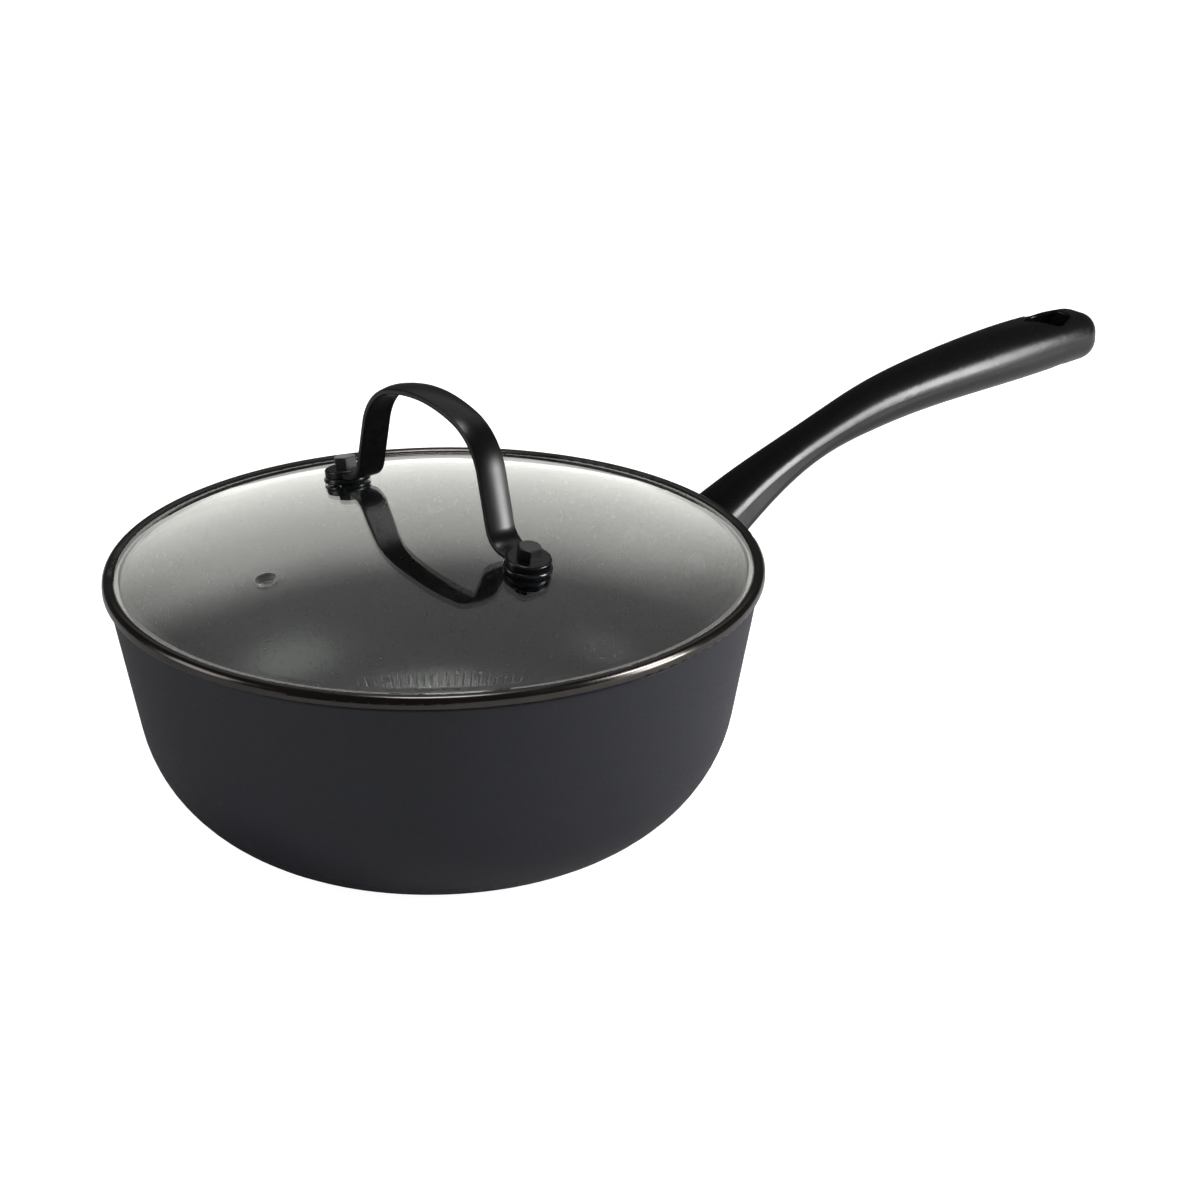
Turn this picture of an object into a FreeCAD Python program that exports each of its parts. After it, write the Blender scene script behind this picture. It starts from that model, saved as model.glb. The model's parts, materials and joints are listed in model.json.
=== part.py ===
import FreeCAD, Part
import math
import os
from collections import namedtuple

import Sketcher
from FreeCAD import Placement, Rotation, Vector

# Saucepan with a glass lid. +Z is up, +X runs along the handle, and the origin is the centre of
# the base, on the surface that the pan stands on. Lengths are millimetres, angles are degrees.
# "Left" is +Y and "right" is -Y, as seen when looking along the handle from the pan.

DRIVING_DIMENSIONS = {
    # Pan
    "pan_height": 96.0,
    "pan_mouth_radius": 120.6,
    "wall_lean": 10.0,
    "wall_thickness": 3.0,
    "base_thickness": 4.5,
    "bowl_radius": 56.0,
    "bowl_centre_height": 54.2,
    "lip_rounding": 1.1,
    "foot_rounding": 2.0,
    "floor_rounding": 14.0,
    # Induction disc, pressed flush into the base
    "disc_radius": 63.0,
    "disc_thickness": 1.2,
    "disc_hole_radius": 2.6,
    "disc_inner_ring": 20.0,
    "disc_middle_ring": 37.0,
    "disc_outer_ring": 54.0,
    # Handle bracket: a saddle on the wall, a neck and a tang
    "attach_height": 71.8,
    "saddle_half_height": 11.5,
    "saddle_thickness": 3.0,
    "saddle_arc": 26.0,
    "saddle_rounding": 5.0,
    "neck_width": 22.0,
    "neck_centre_height": 74.0,
    "neck_half_height": 7.0,
    "neck_rounding": 3.0,
    "tang_slope": 28.0,
    "tang_start": 118.0,
    "tang_root": 4.0,
    "tang_length": 46.0,
    "tang_width": 13.0,
    "tang_half_height": 3.0,
    "tang_clearance": 0.2,
    "neck_gap": 0.1,
    # Rivets
    "rivet_spread": 9.3,
    "rivet_shank_radius": 3.0,
    "rivet_head_radius": 7.0,
    "rivet_head_height": 3.2,
    "rivet_tail_radius": 4.4,
    "rivet_tail_height": 1.6,
    "rivet_tail_rounding": 0.8,
    "rivet_seat_gap": 0.25,
    # Grip
    "hole_point_x": 309.3,
    "hole_point_rounding": 1.2,
    "hole_side_x": 323.0,
    "hole_side_y": 9.8,
    "hole_side_rounding": 9.0,
    "hole_end_x": 335.2,
    "hole_end_y": 4.6,
    "hole_end_rounding": 4.4,
    "hole_edge_rounding": 0.8,
    "tip_reach": 12.0,
    "tip_side_rounding": 11.8,
    "tip_end_rounding": 8.4,
    # Screw through the grip into the tang
    "screw_distance": 34.0,
    "screw_radius": 1.95,
    "screw_hole_radius": 2.1,
    "screw_head_radius": 3.6,
    "screw_head_height": 2.4,
    "screw_head_rounding": 1.4,
    "screw_end_rounding": 0.6,
    "screw_end_gap": 0.3,
    "screw_thread_gap": 0.05,
    "screw_pocket_radius": 4.0,
    "screw_pocket_depth": 15.0,
    "screw_floor": 2.2,
    "recess_reach": 2.2,
    "recess_half_width": 0.5,
    "recess_depth": 1.4,
    # Lid glass
    "dome_top": 120.0,
    "dome_radius": 348.0,
    "glass_thickness": 3.2,
    "glass_radius": 121.6,
    "flange_top": 100.08,
    "flange_inner_radius": 116.4,
    "flange_step": 2.4,
    "flange_step_inset": 1.0,
    "flange_foot_inset": 0.6,
    "glass_edge_rounding": 1.4,
    "vent_distance": 73.5,
    "vent_radius": 2.9,
    "vent_bevel": 0.9,
    # Lid rim
    "rim_radius": 122.5,
    "rim_bottom": 96.35,
    "rim_thickness": 0.5,
    "rim_bead_radius": 2.6,
    "rim_bead_height": 98.4,
    "rim_bottom_rounding": 0.9,
    "skirt_radius": 116.3,
    "skirt_rounding": 0.3,
    "skirt_bottom": 92.8,
    # Bolt stacks of the lid's handle
    "bolt_distance": 57.0,
    "gasket_thickness": 2.2,
    "gasket_radius": 9.0,
    "gasket_rounding": 0.8,
    "gasket_gap": 0.03,
    "seat_gap": 0.02,
    "collar_radius": 4.4,
    "glass_hole_radius": 4.5,
    "bolt_radius": 2.5,
    "bolt_hole_radius": 2.7,
    "bolt_head_flats": 8.0,
    "bolt_head_height": 4.3,
    "bolt_end_chamfer": 0.5,
    "lower_gasket_thickness": 1.5,
    "lower_gasket_radius": 8.5,
    "lower_gasket_rounding": 0.5,
    "washer_thickness": 1.0,
    "washer_radius": 7.5,
    "washer_rounding": 0.2,
    "nut_flats": 8.0,
    "nut_hex_height": 4.5,
    "nut_dome_height": 3.5,
    "nut_bore_depth": 6.5,
    "bolt_reach": 11.8,
    # Lid handle: one strap, its top in three arcs, with a round eye at each end
    "strap_top": 167.0,
    "strap_thickness": 3.0,
    "strap_width": 11.8,
    "strap_crown_radius": 70.0,
    "strap_crown_half_width": 21.5,
    "strap_shoulder_radius": 25.0,
    "strap_leg_lean": 14.0,
    "strap_foot_rounding": 7.0,
    "strap_crown_rise": 1.0,
    "strap_outer_rounding": 0.6,
    "strap_inner_rounding": 0.4,
    "eye_radius": 8.4,
    "eye_rounding": 0.8,
}

# Sections of the grip from the pan to the tip: distance from the pan's axis, height of the top,
# depth, half width at the bottom, how far the sides lean in at the top, and the radii of the upper
# and the lower corners
Station = namedtuple("Station", "name x top depth half_width lean upper lower")
GRIP_STATIONS = [
    Station("root", 124.0, 88.1, 23.0, 14.7, 2.5, 10.0, 4.0),
    Station("flare", 137.0, 94.4, 21.2, 13.3, 2.4, 9.5, 4.3),
    Station("neck", 158.0, 103.2, 18.0, 10.9, 2.0, 8.2, 4.6),
    Station("throat", 182.0, 111.5, 15.7, 8.9, 0.8, 7.6, 5.4),
    Station("knuckle", 214.0, 121.6, 18.4, 9.4, 0.4, 8.8, 7.1),
    Station("palm", 252.0, 128.3, 21.0, 11.5, 0.3, 10.8, 8.3),
    Station("heel", 290.0, 131.8, 23.2, 12.9, 0.3, 12.2, 8.8),
    Station("eye", 322.0, 131.5, 21.9, 13.1, 0.3, 9.6, 9.0),
    Station("end", 338.0, 130.8, 20.7, 12.6, 0.3, 9.4, 8.7),
]
STATION_SIZES = ("x", "top", "depth", "half_width", "lean", "upper", "lower")
# How far round its quarter circle each section of the tip lies, in degrees
TIP_ANGLES = (0, 22, 42, 58, 71, 81, 87)

# Holes in each ring of the induction disc
DISC_RINGS = {"inner": 8, "middle": 16, "outer": 24}

# A chamfered hexagon, as shares of its width across flats: where the chamfer starts and where
# the cut ends, then the chamfer's slope and the height of the cut beyond the hexagon's end
TRIM_START = 0.47
TRIM_REACH = 0.75
TRIM_SLOPE = 0.5
TRIM_CLEARANCE = 2.0
NUT_DOME_SHARE = 0.96

# How near an edge must be to its expected place to be chosen
EDGE_MATCH = 0.02

SIDES = {"left": 1, "right": -1}

doc = FreeCAD.newDocument("saucepan")


# ---------------------------------------------------------------------------------------------
# The sheet of driving dimensions, and numbers that remember their formula
# ---------------------------------------------------------------------------------------------

class Size:
    """A number together with the formula that the sheet drives it by."""

    def __init__(self, value, formula=None):
        self.value = float(value)
        self.formula = formula if formula else f"({float(value)!r})"

    def _join(self, other, sign, value):
        return Size(value, f"({self.formula} {sign} {other.formula})")

    def __add__(self, other):
        other = as_size(other)
        return self._join(other, "+", self.value + other.value)

    def __sub__(self, other):
        other = as_size(other)
        return self._join(other, "-", self.value - other.value)

    def __mul__(self, other):
        other = as_size(other)
        return self._join(other, "*", self.value * other.value)

    def __truediv__(self, other):
        other = as_size(other)
        return self._join(other, "/", self.value / other.value)

    def __radd__(self, other):
        return as_size(other) + self

    def __rsub__(self, other):
        return as_size(other) - self

    def __rmul__(self, other):
        return as_size(other) * self

    def __neg__(self):
        return as_size(0.0) - self


def as_size(number):
    return number if isinstance(number, Size) else Size(number)


def sine(angle):
    return Size(math.sin(math.radians(angle.value)), f"sin({angle.formula} * 1 deg)")


def cosine(angle):
    return Size(math.cos(math.radians(angle.value)), f"cos({angle.formula} * 1 deg)")


def tangent(angle):
    return Size(math.tan(math.radians(angle.value)), f"tan({angle.formula} * 1 deg)")


def root(number):
    return Size(math.sqrt(number.value), f"sqrt({number.formula})")


def fill_sheet():
    """Writes every driving dimension to the sheet and returns them as sizes by name."""
    sheet = doc.addObject("Spreadsheet::Sheet", "dims")
    cells = dict(DRIVING_DIMENSIONS)
    for station in GRIP_STATIONS:
        for size in STATION_SIZES:
            cells[f"grip_{station.name}_{size}"] = getattr(station, size)
    for row, (alias, number) in enumerate(cells.items(), start=1):
        sheet.set(f"A{row}", alias.replace("_", " "))
        sheet.set(f"B{row}", str(number))
        sheet.setAlias(f"B{row}", alias)
    doc.recompute()
    return {alias: Size(number, f"dims.{alias}") for alias, number in cells.items()}


D = fill_sheet()

# Derived sizes that several pieces share
WALL_SLOPE = tangent(D["wall_lean"])
WALL_ACROSS = D["wall_thickness"] / cosine(D["wall_lean"])
SADDLE_ACROSS = D["saddle_thickness"] / cosine(D["wall_lean"])
BOWL_CENTRE_X = (
    D["pan_mouth_radius"]
    - (D["pan_height"] - D["bowl_centre_height"]) * WALL_SLOPE
    - D["bowl_radius"] / cosine(D["wall_lean"])
)
INNER_BOWL_RADIUS = D["bowl_radius"] - D["wall_thickness"]
BOLT_TILT = math.degrees(math.asin(D["bolt_distance"].value / D["dome_radius"].value))
VENT_TILT = math.degrees(math.asin(D["vent_distance"].value / D["dome_radius"].value))


def wall_radius(height):
    """Outer radius of the pan's straight wall at a height."""
    return D["pan_mouth_radius"] - (D["pan_height"] - height) * WALL_SLOPE


def dome_height(distance):
    """Height of the glass dome's outer surface at a distance from the axis, as a plain number."""
    radius = D["dome_radius"].value
    return D["dome_top"].value - radius + math.sqrt(radius ** 2 - distance ** 2)


# ---------------------------------------------------------------------------------------------
# Bodies, sketches and features
# ---------------------------------------------------------------------------------------------

# A corner of an outline. rounding rounds the corner; arc is the radius of an arc that arrives
# at the corner from the one before, positive when it runs anticlockwise.
Corner = namedtuple("Corner", "x y rounding arc", defaults=(None, None))


def new_body(name, placement=None):
    body = doc.addObject("PartDesign::Body", name)
    body.Label = name
    body.Placement = placement if placement else Placement()
    return body


def new_sketch(body, name, plane, offset=None):
    """A sketch on one of the body's own origin planes, moved off it by the offset placement."""
    sketch = body.newObject("Sketcher::SketchObject", f"{body.Name}_{name}")
    support = next(item for item in body.Origin.OriginFeatures if item.Role == plane)
    sketch.AttachmentSupport = (support, [""])
    sketch.MapMode = "FlatFace"
    if offset:
        sketch.AttachmentOffset = offset
    return sketch


def bind(target, prop, size):
    """Binds a property to the sheet through the size's formula."""
    target.setExpression(prop, as_size(size).formula)


def add_driven(sketch, kind, references, size):
    """Adds a dimension and binds it to the sheet."""
    index = sketch.addConstraint(Sketcher.Constraint(kind, *references, size.value))
    sketch.setExpression(f"Constraints[{index}]", size.formula)


def pin_point(sketch, geometry, end, x, y):
    """Fixes a point of the sketch by its distances from the origin."""
    for kind, size, axis in (("DistanceX", as_size(x), -2), ("DistanceY", as_size(y), -1)):
        if abs(size.value) < 1e-9:
            sketch.addConstraint(Sketcher.Constraint("PointOnObject", geometry, end, axis))
        elif size.value > 0:
            add_driven(sketch, kind, (-1, 1, geometry, end), size)
        else:
            add_driven(sketch, kind, (geometry, end, -1, 1), -size)


def arc_between(start, end, radius):
    """The arc of at most half a turn from start to end; a positive radius runs anticlockwise.

    Returns the arc and the numbers of the ends that start and end became.
    """
    chord = end - start
    middle = (start + end) * 0.5
    reach = math.sqrt(max(radius ** 2 - (chord.Length / 2) ** 2, 0.0))
    normal = Vector(-chord.y, chord.x, 0).normalize()
    centre = middle + normal * math.copysign(reach, radius)
    first, last = (start, end) if radius > 0 else (end, start)
    angle_a = math.atan2(first.y - centre.y, first.x - centre.x)
    angle_b = math.atan2(last.y - centre.y, last.x - centre.x)
    if angle_b < angle_a:
        angle_b += 2 * math.pi
    circle = Part.Circle(centre, Vector(0, 0, 1), abs(radius))
    ends = (1, 2) if radius > 0 else (2, 1)
    return Part.ArcOfCircle(circle, angle_a, angle_b), ends


def draw_outline(sketch, corners, closed=True):
    """Draws an outline, or an open path, of lines and arcs and drives it from the sheet."""
    count = len(corners)
    points = [Vector(as_size(c.x).value, as_size(c.y).value, 0) for c in corners]
    arriving, leaving, turns = [], [], []
    for index, corner in enumerate(corners):
        back = points[index - 1] - points[index]
        ahead = points[(index + 1) % count] - points[index]
        reach = 0.0
        if corner.rounding:
            reach = as_size(corner.rounding).value / math.tan(back.getAngle(ahead) / 2)
        arriving.append(points[index] + back.normalize() * reach)
        leaving.append(points[index] + ahead.normalize() * reach)
        turns.append(ahead.x * back.y - ahead.y * back.x)

    edges = []
    for index in range(count if closed else count - 1):
        following = (index + 1) % count
        start, end = leaving[index], arriving[following]
        if corners[following].arc:
            radius = as_size(corners[following].arc)
            arc, ends = arc_between(start, end, radius.value)
            edges.append((sketch.addGeometry(arc), *ends))
        else:
            edges.append((sketch.addGeometry(Part.LineSegment(start, end)), 1, 2))

    if not closed:
        pin_point(sketch, edges[0][0], edges[0][1], corners[0].x, corners[0].y)
        pin_point(sketch, edges[-1][0], edges[-1][2], corners[-1].x, corners[-1].y)
    for index, corner in enumerate(corners):
        if not closed and index in (0, count - 1):
            continue
        before, _, before_end = edges[index - 1]
        after, after_start, _ = edges[index]
        if corner.rounding:
            radius = as_size(corner.rounding)
            signed = math.copysign(radius.value, turns[index])
            arc, ends = arc_between(arriving[index], leaving[index], signed)
            rounding = sketch.addGeometry(arc)
            sharp = sketch.addGeometry(Part.Point(points[index]), True)
            sketch.addConstraint([
                Sketcher.Constraint("Tangent", before, before_end, rounding, ends[0]),
                Sketcher.Constraint("Tangent", rounding, ends[1], after, after_start),
                Sketcher.Constraint("PointOnObject", sharp, 1, before),
                Sketcher.Constraint("PointOnObject", sharp, 1, after),
            ])
            add_driven(sketch, "Radius", (rounding,), radius)
            pin_point(sketch, sharp, 1, corner.x, corner.y)
        else:
            sketch.addConstraint(
                Sketcher.Constraint("Coincident", before, before_end, after, after_start))
            pin_point(sketch, after, after_start, corner.x, corner.y)
        if corner.arc:
            radius = as_size(corner.arc)
            size = radius if radius.value > 0 else -radius
            add_driven(sketch, "Radius", (before,), size)


def draw_circle(sketch, x, y, radius):
    """Draws a circle whose centre and radius are driven from the sheet."""
    centre = Vector(as_size(x).value, as_size(y).value, 0)
    circle = sketch.addGeometry(Part.Circle(centre, Vector(0, 0, 1), as_size(radius).value))
    add_driven(sketch, "Radius", (circle,), as_size(radius))
    pin_point(sketch, circle, 3, x, y)


def draw_hexagon(sketch, across_flats):
    """Draws a hexagon centred on the sketch's origin, its corners driven from the sheet."""
    corner_radius = across_flats / root(Size(3.0))
    corners = []
    for index in range(6):
        angle = Size(60.0 * index)
        corners.append(Corner(corner_radius * cosine(angle), corner_radius * sine(angle)))
    draw_outline(sketch, corners)


def revolve(body, name, corners, angle=None):
    """Turns an outline in the XZ plane about Z, all the way or by an angle both ways."""
    sketch = new_sketch(body, name, "XZ_Plane")
    draw_outline(sketch, corners)
    feature = body.newObject("PartDesign::Revolution", f"{body.Name}_{name}_turn")
    feature.Profile = sketch
    feature.ReferenceAxis = (sketch, ["V_Axis"])
    if angle:
        bind(feature, "Angle", angle)
        feature.Midplane = True
    else:
        feature.Angle = 360.0
    doc.recompute()
    return feature


def pad(body, sketch, length, midplane=False, backwards=False):
    feature = body.newObject("PartDesign::Pad", f"{sketch.Name}_pad")
    feature.Profile = sketch
    feature.Midplane = midplane
    feature.Reversed = backwards
    bind(feature, "Length", length)
    doc.recompute()
    return feature


def pocket(body, sketch, length=None, midplane=False, backwards=False):
    """Cuts a sketch out of the body, through everything when no length is given."""
    before = body.Shape.Volume
    feature = body.newObject("PartDesign::Pocket", f"{sketch.Name}_pocket")
    feature.Profile = sketch
    feature.Midplane = midplane
    feature.Reversed = backwards
    if length is None:
        feature.Type = "ThroughAll"
    else:
        bind(feature, "Length", length)
    doc.recompute()
    if body.Shape.Volume > before - 0.01:
        raise RuntimeError(f"{feature.Name} cuts nothing")
    return feature


def round_edges(body, name, radius, chosen, kind="PartDesign::Fillet"):
    """Rounds (or chamfers) the edges of the body's tip that the chosen function accepts."""
    tip = body.Tip
    edges = [f"Edge{number}" for number, edge in enumerate(tip.Shape.Edges, start=1) if chosen(edge)]
    if not edges:
        raise RuntimeError(f"{body.Name} {name}: no edge found")
    feature = body.newObject(kind, f"{body.Name}_{name}")
    feature.Base = (tip, edges)
    bind(feature, "Radius" if kind.endswith("Fillet") else "Size", radius)
    doc.recompute()
    return feature


def tilted(x, y, z, axis, angle):
    return Placement(Vector(x, y, z), Rotation(axis, angle))


# ---------------------------------------------------------------------------------------------
# Pan
# ---------------------------------------------------------------------------------------------

def rivet_offset(side):
    """Placement of a rivet on the wall, its Z axis pointing out of the pan, in the row's frame."""
    turn = Rotation(Vector(0, 0, 1), side * D["rivet_spread"].value)
    lean = Rotation(Vector(0, 1, 0), 90.0 + D["wall_lean"].value)
    place = turn.multVec(Vector(wall_radius(D["attach_height"]).value, 0, D["attach_height"].value))
    return Placement(place, turn.multiply(lean))


def pierce(body, name, placement, radius, length):
    """Drills a hole of a given length, centred on the placement and along its Z axis."""
    sketch = new_sketch(body, name, "XY_Plane", placement)
    draw_circle(sketch, 0, 0, radius)
    return pocket(body, sketch, length, midplane=True)


def make_pan_shell():
    body = new_body("pan_shell")
    lean = D["wall_lean"]
    foot_x = BOWL_CENTRE_X + root(D["bowl_radius"] * D["bowl_radius"]
                                  - D["bowl_centre_height"] * D["bowl_centre_height"])
    outer_x = BOWL_CENTRE_X + D["bowl_radius"] * cosine(lean)
    outer_z = D["bowl_centre_height"] - D["bowl_radius"] * sine(lean)
    inner_x = BOWL_CENTRE_X + INNER_BOWL_RADIUS * cosine(lean)
    inner_z = D["bowl_centre_height"] - INNER_BOWL_RADIUS * sine(lean)
    floor_depth = D["bowl_centre_height"] - D["base_thickness"]
    floor_x = BOWL_CENTRE_X + root(INNER_BOWL_RADIUS * INNER_BOWL_RADIUS - floor_depth * floor_depth)
    revolve(body, "wall", [
        Corner(0, D["disc_thickness"]),
        Corner(D["disc_radius"], D["disc_thickness"]),
        Corner(D["disc_radius"], 0),
        Corner(foot_x, 0),
        Corner(outer_x, outer_z, arc=D["bowl_radius"]),
        Corner(D["pan_mouth_radius"], D["pan_height"], rounding=D["lip_rounding"]),
        Corner(D["pan_mouth_radius"] - WALL_ACROSS, D["pan_height"], rounding=D["lip_rounding"]),
        Corner(inner_x, inner_z),
        Corner(floor_x, D["base_thickness"], arc=-INNER_BOWL_RADIUS),
        Corner(0, D["base_thickness"]),
    ])

    def at_ring(radius, height):
        """Chooses the circular edge of a given radius and height."""
        def chosen(edge):
            box = edge.BoundBox
            same_radius = abs(box.XMax - radius.value) < 0.01
            return same_radius and abs(box.ZMax - height.value) < 0.01 and box.ZLength < 0.01
        return chosen

    round_edges(body, "floor_rounding", D["floor_rounding"], at_ring(floor_x, D["base_thickness"]))
    round_edges(body, "foot_rounding", D["foot_rounding"], at_ring(foot_x, Size(0)))
    for name, side in SIDES.items():
        pierce(body, f"rivet_hole_{name}", rivet_offset(side), D["rivet_shank_radius"],
               D["wall_thickness"] * 4)
    return body


def make_induction_disc():
    body = new_body("induction_disc")
    revolve(body, "plate", [
        Corner(0, 0),
        Corner(D["disc_radius"], 0),
        Corner(D["disc_radius"], D["disc_thickness"]),
        Corner(0, D["disc_thickness"]),
    ])
    for ring, holes in DISC_RINGS.items():
        sketch = new_sketch(body, f"{ring}_hole", "XY_Plane")
        draw_circle(sketch, D[f"disc_{ring}_ring"], 0, D["disc_hole_radius"])
        hole = pocket(body, sketch, D["disc_thickness"] * 3, midplane=True)
        pattern = body.newObject("PartDesign::PolarPattern", f"disc_{ring}_pattern")
        pattern.Originals = [hole]
        pattern.Axis = (sketch, ["N_Axis"])
        pattern.Angle = 360.0
        pattern.Occurrences = holes
        body.Tip = pattern
        doc.recompute()
    return body


def tang_point(along, across):
    """A point of the tang's side view, by its place along and across the tang's axis."""
    along, across = as_size(along), as_size(across)
    slope = D["tang_slope"]
    x = D["tang_start"] + along * cosine(slope) - across * sine(slope)
    z = D["attach_height"] + along * sine(slope) + across * cosine(slope)
    return x, z


def make_handle_bracket():
    body = new_body("handle_bracket")
    low = D["attach_height"] - D["saddle_half_height"]
    high = D["attach_height"] + D["saddle_half_height"]
    revolve(body, "saddle", [
        Corner(wall_radius(low), low),
        Corner(wall_radius(low) + SADDLE_ACROSS, low),
        Corner(wall_radius(high) + SADDLE_ACROSS, high),
        Corner(wall_radius(high), high),
    ], angle=D["saddle_arc"])
    saddle_end = D["saddle_arc"].value / 2

    def saddle_corner(edge):
        """The short edges across the saddle's thickness at its four corners."""
        middle = edge.CenterOfMass
        bearing = abs(math.degrees(math.atan2(middle.y, middle.x)))
        return edge.Length < D["saddle_thickness"].value * 1.2 and bearing > saddle_end - 0.5

    round_edges(body, "saddle_rounding", D["saddle_rounding"], saddle_corner)
    for name, side in SIDES.items():
        pierce(body, f"rivet_hole_{name}", rivet_offset(side), D["rivet_shank_radius"],
               D["saddle_thickness"] * 4)

    # The neck grows out of the saddle, and starts just clear of the pan's wall
    neck_start = wall_radius(D["neck_centre_height"] + D["neck_half_height"]) + D["seat_gap"]
    sketch = new_sketch(body, "neck", "YZ_Plane", Placement(Vector(0, 0, neck_start.value), Rotation()))
    bind(sketch, "AttachmentOffset.Base.z", neck_start)
    half_width, half_height = D["neck_width"] / 2, D["neck_half_height"]
    draw_outline(sketch, [
        Corner(side * half_width, D["neck_centre_height"] + level * half_height,
               rounding=D["neck_rounding"])
        for side, level in ((1, 1), (-1, 1), (-1, -1), (1, -1))
    ])
    pad(body, sketch, D["grip_root_x"] - D["neck_gap"] - neck_start)

    half = D["tang_half_height"]
    sketch = new_sketch(body, "tang", "XZ_Plane")
    draw_outline(sketch, [
        Corner(*tang_point(D["tang_root"], -half)),
        Corner(*tang_point(D["tang_length"], -half)),
        Corner(*tang_point(D["tang_length"], half)),
        Corner(*tang_point(D["tang_root"], half)),
    ])
    pad(body, sketch, D["tang_width"], midplane=True)
    pierce(body, "screw_hole", screw_placement(0), D["screw_radius"], D["tang_half_height"] * 4)
    return body


def screw_placement(depth):
    """Placement on the tang's axis at the screw, Z along the screw and away from its head."""
    x, z = tang_point(D["screw_distance"], -depth)
    return tilted(x.value, 0, z.value, Vector(0, 1, 0), -D["tang_slope"].value)


def make_rivet(name, side):
    """A rivet: its head inside the pan, its formed tail on the saddle."""
    body = new_body(f"rivet_{name}", rivet_offset(side))
    seat = -D["wall_thickness"] - D["rivet_seat_gap"]
    tail = D["saddle_thickness"] + D["seat_gap"]
    head_bulge = (D["rivet_head_radius"] * D["rivet_head_radius"]
                  + D["rivet_head_height"] * D["rivet_head_height"]) / (2 * D["rivet_head_height"])
    revolve(body, "profile", [
        Corner(0, seat - D["rivet_head_height"]),
        Corner(D["rivet_head_radius"], seat, arc=head_bulge),
        Corner(D["rivet_shank_radius"], seat),
        Corner(D["rivet_shank_radius"], tail),
        Corner(D["rivet_tail_radius"], tail),
        Corner(D["rivet_tail_radius"], tail + D["rivet_tail_height"],
               rounding=D["rivet_tail_rounding"]),
        Corner(0, tail + D["rivet_tail_height"]),
    ])
    return body


def grip_section(body, name, x, top, bottom, half_width, lean, upper, lower):
    """A section of the grip across X: narrower at the top, with two upper and two lower corners."""
    sketch = new_sketch(body, f"section_{name}", "YZ_Plane", Placement(Vector(0, 0, x.value), Rotation()))
    bind(sketch, "AttachmentOffset.Base.z", x)
    draw_outline(sketch, [
        Corner(half_width - lean, top, rounding=upper),
        Corner(lean - half_width, top, rounding=upper),
        Corner(-half_width, bottom, rounding=lower),
        Corner(half_width, bottom, rounding=lower),
    ])
    return sketch


def loft(body, name, sections):
    feature = body.newObject("PartDesign::AdditiveLoft", f"{body.Name}_{name}")
    feature.Profile = sections[0]
    feature.Sections = sections[1:]
    feature.Ruled = False
    doc.recompute()
    return feature


def make_handle_grip():
    body = new_body("handle_grip")
    sections = []
    for station in GRIP_STATIONS:
        x, top, depth, half_width, lean, upper, lower = (
            D[f"grip_{station.name}_{size}"] for size in STATION_SIZES)
        sections.append(grip_section(
            body, station.name, x, top, top - depth, half_width, lean, upper, lower))
    loft(body, "loft", sections)

    # The tip is rounded all round: from the last station on, its sections shrink by a quarter
    # ellipse's law, more in width than in height
    sections = []
    for angle in TIP_ANGLES:
        closing = 1 - cosine(Size(angle))
        narrow = half_width - D["tip_side_rounding"] * closing
        share = narrow / half_width
        inset = D["tip_end_rounding"] * closing
        sections.append(grip_section(
            body, f"tip_{angle}", x + D["tip_reach"] * sine(Size(angle)), top - inset,
            top - depth + inset, narrow, lean * share, upper * share, lower * share))
    loft(body, "tip", sections)

    sketch = new_sketch(body, "hanging_hole", "XY_Plane")
    draw_outline(sketch, [
        Corner(D["hole_point_x"], 0, rounding=D["hole_point_rounding"]),
        Corner(D["hole_side_x"], -D["hole_side_y"], rounding=D["hole_side_rounding"]),
        Corner(D["hole_end_x"], -D["hole_end_y"], rounding=D["hole_end_rounding"]),
        Corner(D["hole_end_x"], D["hole_end_y"], rounding=D["hole_end_rounding"]),
        Corner(D["hole_side_x"], D["hole_side_y"], rounding=D["hole_side_rounding"]),
    ])
    pocket(body, sketch, midplane=True)

    def hole_edge(edge):
        """Chooses the edges that lie on the wall of the hanging hole."""
        box = edge.BoundBox
        along_hole = (box.XMin > D["hole_point_x"].value - 1
                      and box.XMax < D["hole_end_x"].value + 1)
        return along_hole and max(abs(box.YMin), abs(box.YMax)) < D["hole_side_y"].value

    round_edges(body, "hole_edge_rounding", D["hole_edge_rounding"], hole_edge)

    half = D["tang_half_height"] + D["tang_clearance"]
    sketch = new_sketch(body, "socket", "XZ_Plane")
    draw_outline(sketch, [
        Corner(*tang_point(0, -half)),
        Corner(*tang_point(D["tang_length"] + D["tang_clearance"], -half)),
        Corner(*tang_point(D["tang_length"] + D["tang_clearance"], half)),
        Corner(*tang_point(0, half)),
    ])
    pocket(body, sketch, D["tang_width"] + 2 * D["tang_clearance"], midplane=True)

    wall = D["tang_half_height"] + D["screw_floor"]
    for hole, radius, start in (("screw_hole", "screw_hole_radius", D["tang_half_height"]),
                                ("screw_pocket", "screw_pocket_radius", wall)):
        sketch = new_sketch(body, hole, "XY_Plane", screw_placement(start))
        draw_circle(sketch, 0, 0, D[radius])
        pocket(body, sketch, D["screw_pocket_depth"])
    return body


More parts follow.
